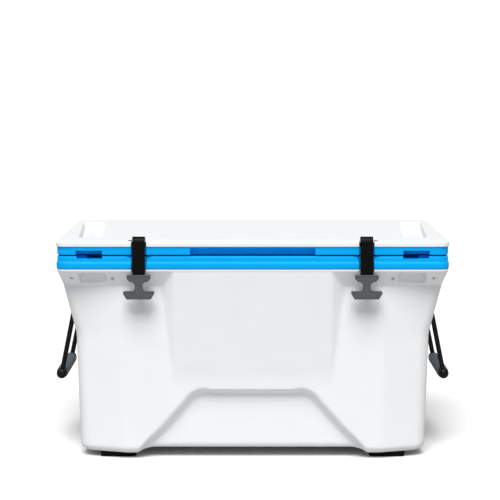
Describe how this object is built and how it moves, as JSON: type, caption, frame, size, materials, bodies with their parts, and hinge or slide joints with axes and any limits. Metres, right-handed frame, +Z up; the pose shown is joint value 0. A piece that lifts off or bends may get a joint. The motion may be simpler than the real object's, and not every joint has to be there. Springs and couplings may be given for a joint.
{
  "type": "cooler chest",
  "caption": "Hard-sided insulated cooler chest with a hinged lid, rubber strap latches, swinging side bail handles, tie-down slots, rubber feet and a screw-in drain plug.",
  "frame": {"origin": "centre of the chest's footprint, on the surface that it stands on", "axes": "+X to the right along the chest's length, seen from the front; -Y out of the latched front face; +Z up"},
  "size_m": [0.816, 0.4595, 0.455],
  "materials": {
    "white_polyethylene": "moulded, fine pebble grain",
    "blue_polyethylene": "moulded, fine pebble grain",
    "liner_polyethylene": "smooth moulded",
    "foam": "open-cell foam, dull",
    "black_rubber": "satin",
    "grey_plastic": "satin",
    "grip_rubber": "matte",
    "black_metal": "satin powder coat",
    "stainless_steel": "satin",
    "dark_plastic": "satin"
  },
  "bodies": {
    "chest": {"body_shell": "white_polyethylene", "body_foam": "foam", "inner_tub": "liner_polyethylene", "body_rim": "blue_polyethylene", "drain_bushing": "dark_plastic", "drain_nut": "dark_plastic", "hinge_rod_left": "stainless_steel", "foot_left_front": "black_rubber", "foot_screw_left_front": "stainless_steel", "handle_left_bracket_front": "dark_plastic", "handle_left_front_screw_low": "stainless_steel", "handle_left_front_screw_high": "stainless_steel", "foot_left_rear": "black_rubber", "foot_screw_left_rear": "stainless_steel", "handle_left_bracket_rear": "dark_plastic", "handle_left_rear_screw_low": "stainless_steel", "handle_left_rear_screw_high": "stainless_steel", "accessory_screw_left_inner": "stainless_steel", "accessory_screw_left_outer": "stainless_steel", "hinge_rod_right": "stainless_steel", "foot_right_front": "black_rubber", "foot_screw_right_front": "stainless_steel", "handle_right_bracket_front": "dark_plastic", "handle_right_front_screw_low": "stainless_steel", "handle_right_front_screw_high": "stainless_steel", "foot_right_rear": "black_rubber", "foot_screw_right_rear": "stainless_steel", "handle_right_bracket_rear": "dark_plastic", "handle_right_rear_screw_low": "stainless_steel", "handle_right_rear_screw_high": "stainless_steel", "accessory_screw_right_inner": "stainless_steel", "accessory_screw_right_outer": "stainless_steel"},
    "lid": {"lid_shell": "white_polyethylene", "lid_liner": "blue_polyethylene", "lid_foam": "foam", "lid_gasket": "black_rubber", "latch_left_pin": "stainless_steel", "latch_right_pin": "stainless_steel"},
    "latch_left": {"latch_left_strap": "black_rubber"},
    "tee_left": {"latch_left_pull": "grey_plastic"},
    "handle_left": {"handle_left_arm_front": "black_metal", "handle_left_arm_rear": "black_metal", "handle_left_grip": "grip_rubber", "handle_left_tie_rod": "stainless_steel"},
    "latch_right": {"latch_right_strap": "black_rubber"},
    "tee_right": {"latch_right_pull": "grey_plastic"},
    "handle_right": {"handle_right_arm_front": "black_metal", "handle_right_arm_rear": "black_metal", "handle_right_grip": "grip_rubber", "handle_right_tie_rod": "stainless_steel"},
    "drain_travel": {"drain_washer": "black_rubber"},
    "drain_cap": {"drain_plug": "dark_plastic"}
  },
  "joints": [
    {"name": "lid_hinge", "type": "hinge", "parent": "chest", "child": "lid", "pos_m": [0, 0.2245, 0.417], "axis": [-1, 0, 0], "range_deg": [0, 105]},
    {"name": "latch_left_swing", "type": "hinge", "parent": "lid", "child": "latch_left", "pos_m": [-0.2257, -0.208, 0.4445], "axis": [-1, 0, 0], "range_deg": [0, 150]},
    {"name": "latch_left_stretch", "type": "slide", "parent": "latch_left", "child": "tee_left", "axis": [0, 0, -1], "range_m": [0, 0.01], "stiffness_N_per_m": 1500, "deforming": ["latch_left_strap"]},
    {"name": "handle_left_swing", "type": "hinge", "parent": "chest", "child": "handle_left", "pos_m": [-0.361, 0, 0.325], "axis": [0, 1, 0], "range_deg": [0, 120]},
    {"name": "latch_right_swing", "type": "hinge", "parent": "lid", "child": "latch_right", "pos_m": [0.2257, -0.208, 0.4445], "axis": [-1, 0, 0], "range_deg": [0, 150]},
    {"name": "latch_right_stretch", "type": "slide", "parent": "latch_right", "child": "tee_right", "axis": [0, 0, -1], "range_m": [0, 0.01], "stiffness_N_per_m": 1500, "deforming": ["latch_right_strap"]},
    {"name": "handle_right_swing", "type": "hinge", "parent": "chest", "child": "handle_right", "pos_m": [0.361, 0, 0.325], "axis": [0, -1, 0], "range_deg": [0, 120]},
    {"name": "drain_slide", "type": "slide", "parent": "chest", "child": "drain_travel", "axis": [1, 0, 0], "range_m": [0, 0.0091]},
    {"name": "drain_turn", "type": "hinge", "parent": "drain_travel", "child": "drain_cap", "pos_m": [0.339, 0, 0.0745], "axis": [1, 0, 0], "range_deg": [0, 1080]}
  ],
  "couplings": [
    {"joint": "drain_slide", "follows": "drain_turn", "m_per_rad": 0.00047746}
  ]
}
